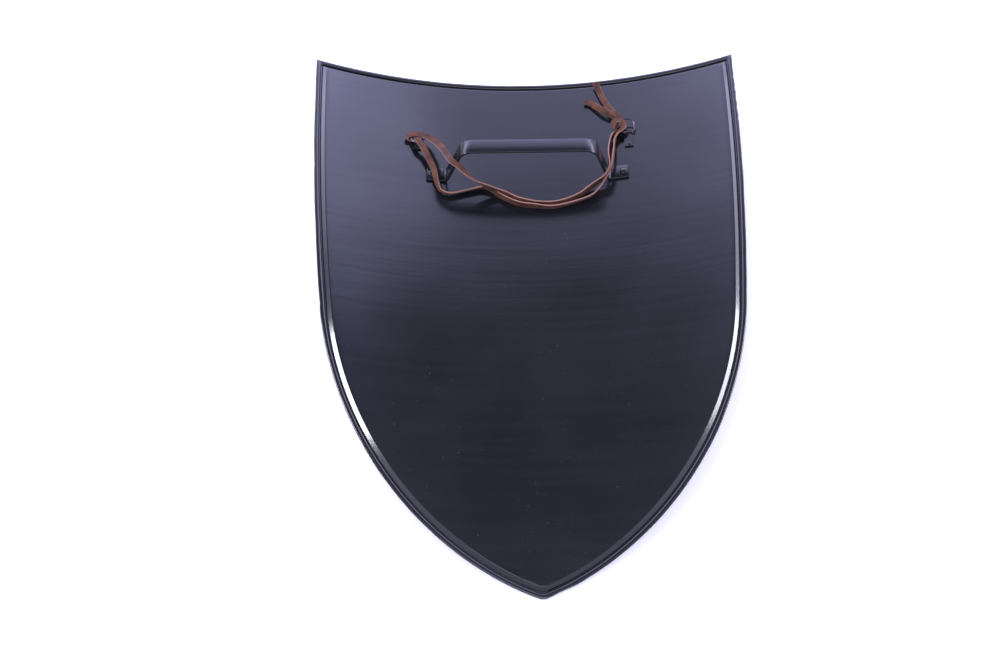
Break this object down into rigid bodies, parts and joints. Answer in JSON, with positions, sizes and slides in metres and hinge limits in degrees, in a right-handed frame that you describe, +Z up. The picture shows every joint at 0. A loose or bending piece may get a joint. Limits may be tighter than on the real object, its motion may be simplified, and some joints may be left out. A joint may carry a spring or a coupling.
{
  "type": "heater shield",
  "caption": "Curved steel heater shield with a rolled rim, a strap handle and a leather thong tied between two D-rings on its back.",
  "frame": {"origin": "on the ground under the middle of the shield's box, the thong left out", "axes": "+X across the width, +Y towards the top edge, +Z up out of the back of the shield, which lies on its front"},
  "size_m": [0.4558, 0.6062, 0.064],
  "materials": {
    "black_paint": "satin black paint on sheet steel",
    "dark_steel": "blackened wire, worn bright in places",
    "brown_leather": "plain brown leather with paler cut edges"
  },
  "bodies": {
    "root": {"shield_plate": "black_paint", "handle": "black_paint", "ring_clip_left": "black_paint", "ring_clip_right": "black_paint", "d_ring_left": "dark_steel", "d_ring_right": "dark_steel", "handle_rivet_left": "black_paint", "handle_rivet_right": "black_paint", "clip_rivet_left": "black_paint", "clip_rivet_right": "black_paint", "leather_thong": "brown_leather"}
  },
  "joints": []
}
